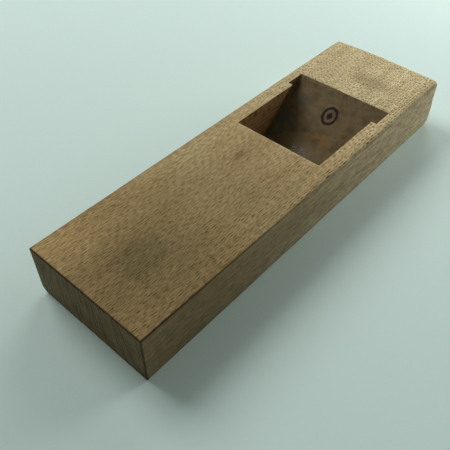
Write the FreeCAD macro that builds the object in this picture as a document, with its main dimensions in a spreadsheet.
"""The wooden body of a pull-type hand plane, with its iron taken out.

It is one block of oak. A throat is cut through it, from the top face to a mouth in the sole.
The rear wall of the throat is the bed that the iron lies on, and a groove in each cheek
holds an edge of the iron down on that bed. The grooves narrow downwards, because the iron
is a wedge.

Frame: origin at the middle of the sole, +X along the block to the heel, the end that is
struck to free the iron, +Y to the left and +Z up. Lengths are in millimetres and angles in
degrees.
"""

import FreeCAD, Part
import os
import Sketcher

NODE = "plane_body"
TOLERANCE = 0.01

DIMENSIONS = {
    # The block
    "body_length": 275.0,  # over the crown of the heel
    "body_width": 81.5,
    "body_height": 33.8,
    "heel_crown": 1.0,  # how far the heel bulges at mid-width
    # The throat
    "bed_top": 81.3,  # X of the bed's edge in the top face
    "bed_angle": 38.66,  # a rise of 8 in a run of 10
    "front_top": 10.1,  # X of the front wall's edge in the top face
    "front_angle": 60.0,
    "lip_height": 6.0,  # of the steeper stretch in front of the mouth
    "mouth_front": 27.5,  # X of the mouth's front edge in the sole
    "throat_width": 61.0,
    # The grooves in the cheeks
    "groove_top": 66.2,  # X of their front edge in the top face
    "groove_angle": 42.3,
    "groove_foot": 4.0,  # height of their lower ends above the sole
    "groove_span": 68.4,  # from the floor of one groove to the floor of the other
    # The bevelled edges
    "left_bevel": 3.8,  # along the sole's left edge
    "heel_bevel": 4.4,  # across the sole's heel edge
    "arris": 0.5,  # round the top face and up the four corners
}

# Places worked out from the dimensions, as formulas over the sheet's cells.
TOE = "-sheet.body_length / 2"
HEEL_CORNER = "sheet.body_length / 2 - sheet.heel_crown"
LEFT = "sheet.body_width / 2"
RIGHT = "-sheet.body_width / 2"
TOP = "sheet.body_height"
SOLE = "0"
HEEL_RADIUS = "((sheet.body_width / 2)^2 + sheet.heel_crown^2) / (2 * sheet.heel_crown)"


def leaning_back(top, angle, height):
    """X, at a height, of a wall that slopes down towards the toe from its top edge."""
    return f"sheet.{top} - (sheet.body_height - {height}) / tan(sheet.{angle} * 1 deg)"


def leaning_forward(top, angle, height):
    """X, at a height, of a wall that slopes down towards the heel from its top edge."""
    return f"sheet.{top} + (sheet.body_height - {height}) / tan(sheet.{angle} * 1 deg)"


def fill_sheet(doc):
    """Gives each driving dimension a row of the sheet and an alias."""
    sheet = doc.addObject("Spreadsheet::Sheet", "sheet")
    for row, (name, value) in enumerate(DIMENSIONS.items(), start=1):
        sheet.set(f"A{row}", name)
        sheet.set(f"B{row}", str(value))
        sheet.setAlias(f"B{row}", name)
    doc.recompute()


def sketch_on(body, role, name):
    """A new sketch on one of the body's own origin planes."""
    plane = next(f for f in body.Origin.OriginFeatures if f.Role == role)
    sketch = body.newObject("Sketcher::SketchObject", name)
    sketch.AttachmentSupport = [(plane, "")]
    sketch.MapMode = "FlatFace"
    return sketch


def bind(sketch, constraint, formula):
    """Adds a dimension to the sketch and ties it to a formula."""
    index = sketch.addConstraint(constraint)
    sketch.setExpression(f"Constraints[{index}]", formula)


def draw_outline(sketch, corners, crown=None, crown_radius=None):
    """Draws a closed outline and ties each corner to its two formulas.

    Its edges are straight. With a crown, the last edge is an arc that stands out from its
    chord by that formula at its middle.
    """
    points = []
    for corner in corners:
        across, up = (float(sketch.evalExpression(formula)) for formula in corner)
        points.append(FreeCAD.Vector(across, up, 0))
    following = points[1:] + points[:1]
    edges = [Part.LineSegment(start, end) for start, end in zip(points, following)]
    if crown:
        height = float(sketch.evalExpression(crown))
        middle = (points[-1] + points[0]) * 0.5 + FreeCAD.Vector(height, 0, 0)
        edges[-1] = Part.Arc(points[-1], middle, points[0])
    sketch.addGeometry(edges)

    count = len(corners)
    for i in range(count):
        sketch.addConstraint(Sketcher.Constraint("Coincident", i, 2, (i + 1) % count, 1))
    for i, (across, up) in enumerate(corners):
        bind(sketch, Sketcher.Constraint("DistanceX", -1, 1, i, 1, points[i].x), across)
        bind(sketch, Sketcher.Constraint("DistanceY", -1, 1, i, 1, points[i].y), up)
    if crown:
        radius = float(sketch.evalExpression(crown_radius))
        bind(sketch, Sketcher.Constraint("Radius", count - 1, radius), crown_radius)


def add_block(body):
    """The plain block, with its slightly crowned heel."""
    sketch = sketch_on(body, "XY_Plane", "block_outline")
    corners = [(HEEL_CORNER, LEFT), (TOE, LEFT), (TOE, RIGHT), (HEEL_CORNER, RIGHT)]
    draw_outline(sketch, corners, "sheet.heel_crown", HEEL_RADIUS)
    block = body.newObject("PartDesign::Pad", "block")
    block.Profile = sketch
    block.setExpression("Length", TOP)
    body.Document.recompute()
    return block


def cut_across(body, name, corners, width, already_open=0.0):
    """Cuts a side-on outline out of the block, evenly to both sides of its middle.

    The volume that goes is compared with the outline's area times the width that wasn't
    open before.
    """
    before = body.Shape.Volume
    sketch = sketch_on(body, "XZ_Plane", f"{name}_outline")
    draw_outline(sketch, corners)
    pocket = body.newObject("PartDesign::Pocket", name)
    pocket.Profile = sketch
    pocket.SideType = "Symmetric"
    pocket.setExpression("Length", f"sheet.{width}")
    body.Document.recompute()

    area = Part.Face(Part.Wire(sketch.Shape.Edges)).Area
    expected = area * (DIMENSIONS[width] - already_open)
    removed = before - body.Shape.Volume
    if abs(removed - expected) > TOLERANCE * expected:
        raise RuntimeError(f"{name} removed {removed:.0f} mm3, not {expected:.0f} mm3")


def cut_throat(body):
    """The throat: its bed, its front wall and the steeper lip in front of the mouth."""
    lip_top = leaning_forward("front_top", "front_angle", "sheet.lip_height")
    corners = [
        ("sheet.front_top", TOP),
        (lip_top, "sheet.lip_height"),
        ("sheet.mouth_front", SOLE),
        (leaning_back("bed_top", "bed_angle", SOLE), SOLE),
        ("sheet.bed_top", TOP),
    ]
    cut_across(body, "throat", corners, "throat_width")


def cut_grooves(body):
    """Both grooves in one cut, because they lie opposite each other along the bed."""
    foot = "sheet.groove_foot"
    corners = [
        ("sheet.groove_top", TOP),
        (leaning_back("groove_top", "groove_angle", foot), foot),
        (leaning_back("bed_top", "bed_angle", foot), foot),
        ("sheet.bed_top", TOP),
    ]
    cut_across(body, "grooves", corners, "groove_span", DIMENSIONS["throat_width"])


def edges_where(shape, test):
    """The names of the edges whose end points pass a test."""
    return [
        f"Edge{i}"
        for i, edge in enumerate(shape.Edges, start=1)
        if test([vertex.Point for vertex in edge.Vertexes])
    ]


def bevel(body, name, size, edges):
    """Cuts a bevel of one size along the named edges of the body so far."""
    before = body.Tip
    chamfer = body.newObject("PartDesign::Chamfer", name)
    chamfer.Base = (before, edges)
    chamfer.setExpression("Size", f"sheet.{size}")
    body.Document.recompute()


def bevel_edges(body):
    """The wide bevels of the sole's left and heel edges, then the fine ones of the arrises."""
    half_width = DIMENSIONS["body_width"] / 2 - TOLERANCE
    half_length = DIMENSIONS["body_length"] / 2 - DIMENSIONS["heel_crown"] - TOLERANCE
    top = DIMENSIONS["body_height"] - TOLERANCE

    def on_sole_left(ends):
        return all(p.z < TOLERANCE and p.y > half_width for p in ends)

    def on_sole_heel(ends):
        return all(p.z < TOLERANCE and p.x > half_length for p in ends)

    def on_rim_or_corner(ends):
        outside = all(abs(p.x) > half_length or abs(p.y) > half_width for p in ends)
        return outside and any(p.z > top for p in ends)

    bevel(body, "left_edge", "left_bevel", edges_where(body.Shape, on_sole_left))
    bevel(body, "heel_edge", "heel_bevel", edges_where(body.Shape, on_sole_heel))
    bevel(body, "arrises", "arris", edges_where(body.Shape, on_rim_or_corner))


def build(doc):
    fill_sheet(doc)
    body = doc.addObject("PartDesign::Body", NODE)
    body.Label = NODE
    add_block(body)
    cut_throat(body)
    cut_grooves(body)
    bevel_edges(body)
    return body


def check(doc, body):
    """Stops on any failed object, and unless the body is one sound solid of its stated size."""
    for item in doc.Objects:
        if "Invalid" in item.State or "Error" in item.State:
            raise RuntimeError(f"{item.Name} failed: {item.State}")
    shape = body.Shape
    if shape.isNull() or not shape.isValid() or len(shape.Solids) != 1:
        raise RuntimeError(f"{body.Label} isn't one sound solid")
    box = shape.optimalBoundingBox()
    wanted = (DIMENSIONS["body_length"], DIMENSIONS["body_width"], DIMENSIONS["body_height"])
    for found, size in zip((box.XLength, box.YLength, box.ZLength), wanted):
        if abs(found - size) > TOLERANCE:
            raise RuntimeError(f"{body.Label} measures {found:.2f} mm, not {size:.2f} mm")


def main():
    doc = FreeCAD.newDocument("hand_plane")
    body = build(doc)
    doc.recompute()
    check(doc, body)
    os.makedirs("parts", exist_ok=True)
    body.Shape.exportStep(f"parts/{body.Label}.step")
    print(f"{body.Label}: {body.Shape.Volume / 1000:.1f} cm3")


main()
